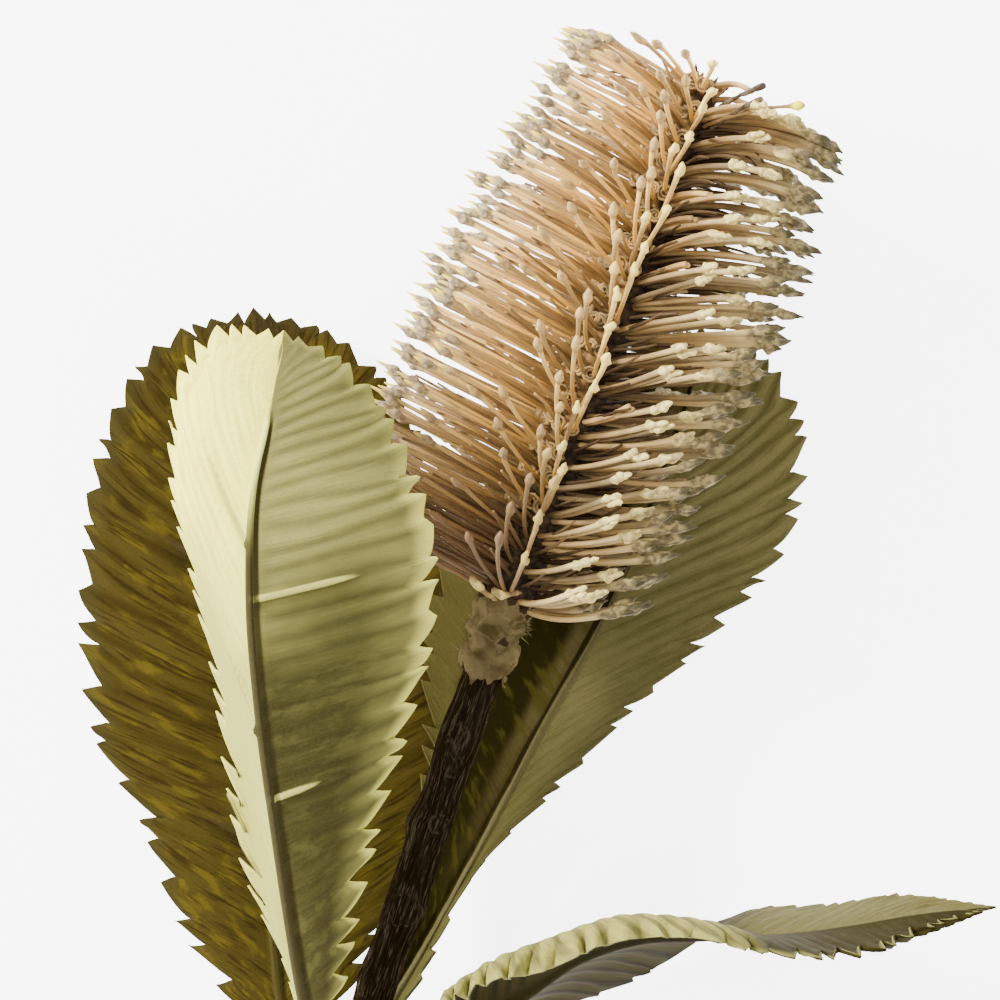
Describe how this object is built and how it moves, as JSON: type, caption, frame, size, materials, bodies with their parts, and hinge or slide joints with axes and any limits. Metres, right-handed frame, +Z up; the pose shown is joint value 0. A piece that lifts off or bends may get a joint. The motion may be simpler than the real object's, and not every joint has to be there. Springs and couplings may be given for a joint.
{
  "type": "swamp banksia stem",
  "caption": "Cut flower stem lying down: a cylindrical spike of knobbed styles on a slim core, a ragged collar, a woody stem and large leaves with toothed edges.",
  "frame": {"origin": "on the surface the stem lies on, under the middle of its bounding box", "axes": "+Y along the length, from the stem's cut end to the spike's tip; +Z up from the surface; +X to the right seen from above with the spike at the top"},
  "size_m": [0.2532, 0.4307, 0.1076],
  "materials": {
    "stem": "near-black bark with a fine pale lengthwise grain",
    "bract_collar": "waxy tan, lumpy and torn",
    "flower_spike": "tan styles with greyish knobs and pale yellow tips",
    "leaf_pale": "pale sage cloth with embossed veins, dark on its inner side",
    "leaf_dark": "dark olive cloth with yellow-brown veins and khaki underside"
  },
  "bodies": {
    "root": {"stem": "stem", "bract_collar": "bract_collar", "flower_spike": "flower_spike", "leaf_front": "leaf_pale", "leaf_back_left": "leaf_dark", "leaf_back_right": "leaf_dark", "leaf_lower_right": "leaf_pale"}
  },
  "joints": []
}
